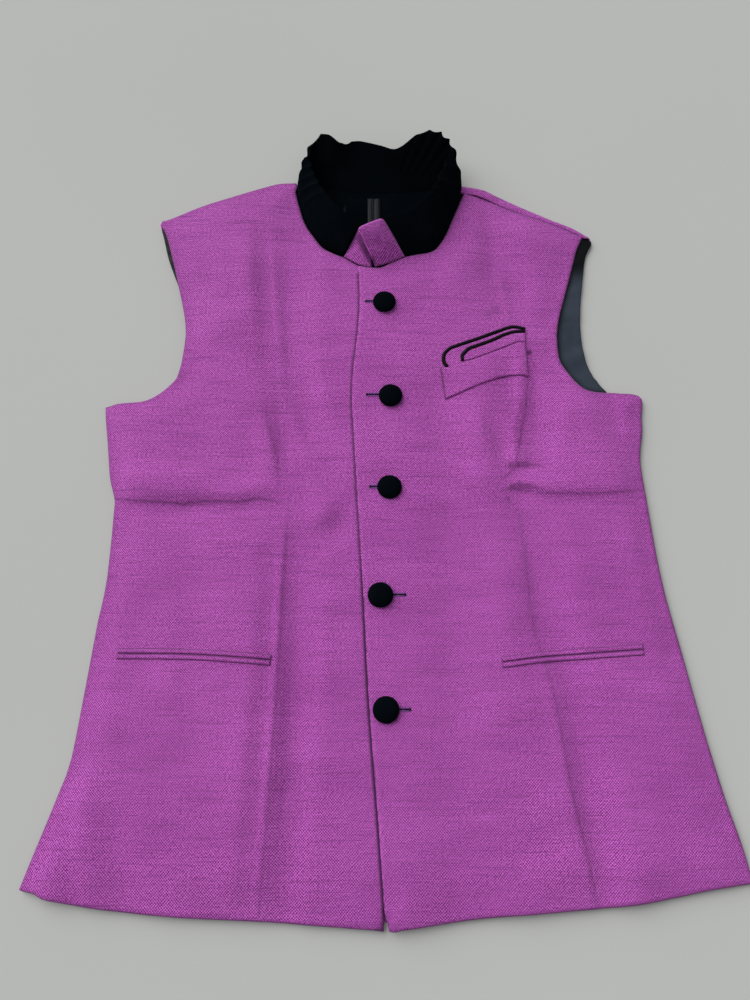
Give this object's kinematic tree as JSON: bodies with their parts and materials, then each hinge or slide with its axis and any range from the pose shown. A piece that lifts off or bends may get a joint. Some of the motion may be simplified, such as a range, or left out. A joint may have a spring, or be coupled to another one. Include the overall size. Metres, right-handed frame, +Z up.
{
  "type": "sleeveless jacket",
  "caption": "Sleeveless stand-collar jacket of magenta cloth with a black velvet collar, covered buttons, a breast welt and hip pockets, buttoned and laid flat.",
  "frame": {"origin": "middle of the jacket's box, on the surface that its back lies on", "axes": "+X to the wearer's left, +Y from the hem towards the collar, +Z up from the surface"},
  "size_m": [0.61, 0.7726, 0.0421],
  "materials": {
    "magenta_cloth": "slubbed matt weave with a faint sheen",
    "black_velvet": "short velvet pile",
    "grey_satin": "smooth satin",
    "black_piping": "corded satin"
  },
  "bodies": {
    "root": {"back": "magenta_cloth", "back_shoulder_left": "magenta_cloth", "front_right": "magenta_cloth", "front_left": "magenta_cloth", "collar_end_left": "magenta_cloth", "collar_end_right": "magenta_cloth", "breast_welt": "magenta_cloth", "square_back": "magenta_cloth", "square_front": "magenta_cloth", "hip_pocket_left_upper": "magenta_cloth", "hip_pocket_left_lower": "magenta_cloth", "hip_pocket_right_upper": "magenta_cloth", "hip_pocket_right_lower": "magenta_cloth", "collar": "black_velvet", "back_neck_facing": "black_velvet", "button_1": "black_velvet", "button_2": "black_velvet", "button_3": "black_velvet", "button_4": "black_velvet", "button_5": "black_velvet", "back_lining": "grey_satin", "neck_loop": "grey_satin", "square_back_piping": "black_piping", "square_front_piping": "black_piping"}
  },
  "joints": []
}
